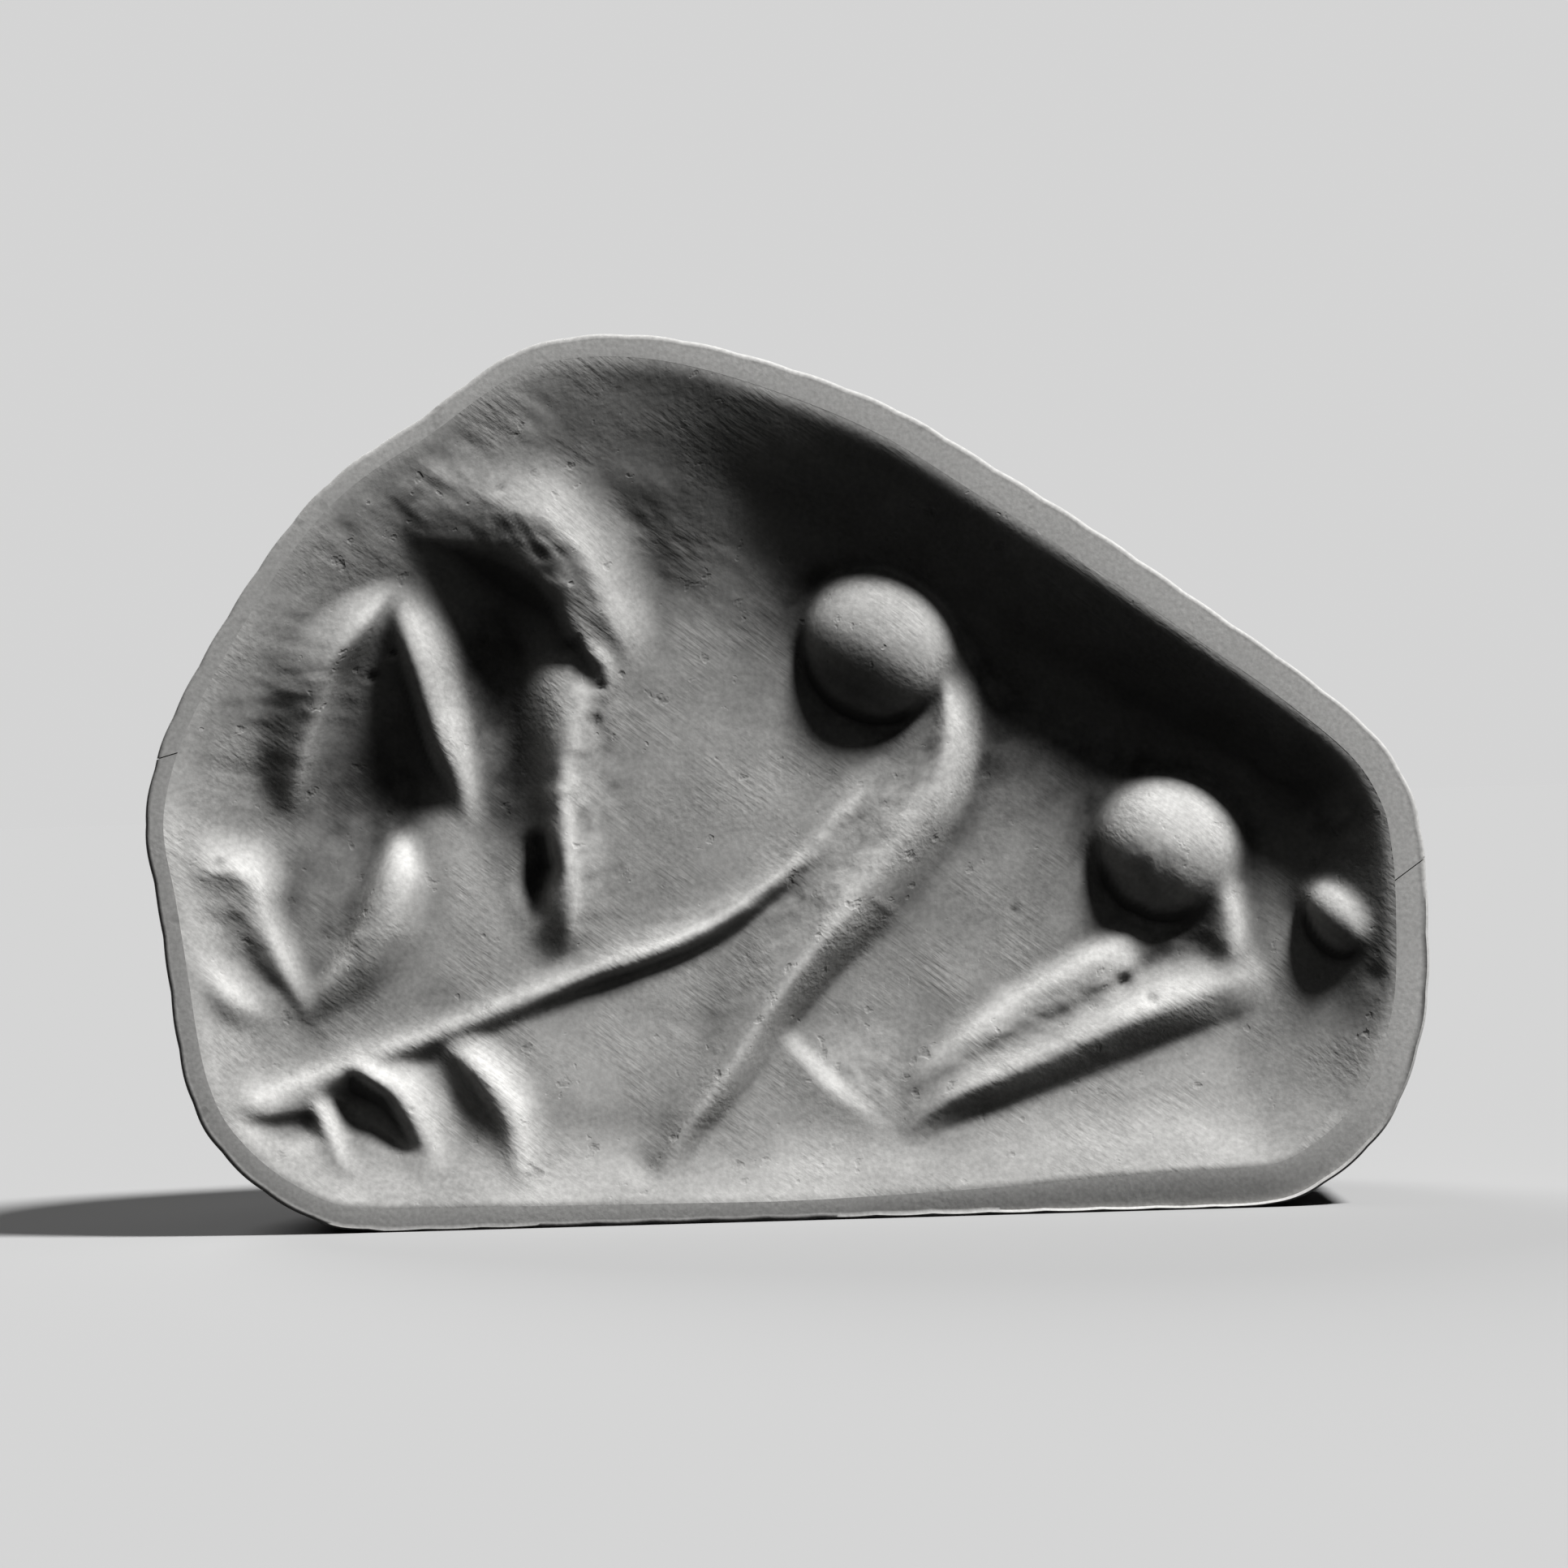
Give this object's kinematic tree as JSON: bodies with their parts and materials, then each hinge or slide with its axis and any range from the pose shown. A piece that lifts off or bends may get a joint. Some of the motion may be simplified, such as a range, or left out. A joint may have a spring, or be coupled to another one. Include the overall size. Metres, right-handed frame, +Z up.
{
  "type": "seal stamp",
  "caption": "Small stone seal stamp: carved animal face set in a two-part rim and bedded on a domed grip pierced for a string.",
  "frame": {"origin": "on the surface that the seal stands on, under the middle of its width and depth", "axes": "+Z up, +X to the right of the face, -Y out of the carved face, so +Y runs from the face to the back of the grip"},
  "size_m": [0.0236, 0.012, 0.0165],
  "materials": {
    "carved_stone": "matt, streaked and worn, darker in the hollows",
    "rim_stone": "smooth, finely speckled, dull",
    "cement": "matt, gritty joint line",
    "grip_stone": "smooth, rubbed by hands, dull"
  },
  "bodies": {
    "root": {"carved_face": "carved_stone", "upper_rim": "rim_stone", "lower_rim": "rim_stone", "setting_bed": "cement", "grip": "grip_stone"}
  },
  "joints": []
}
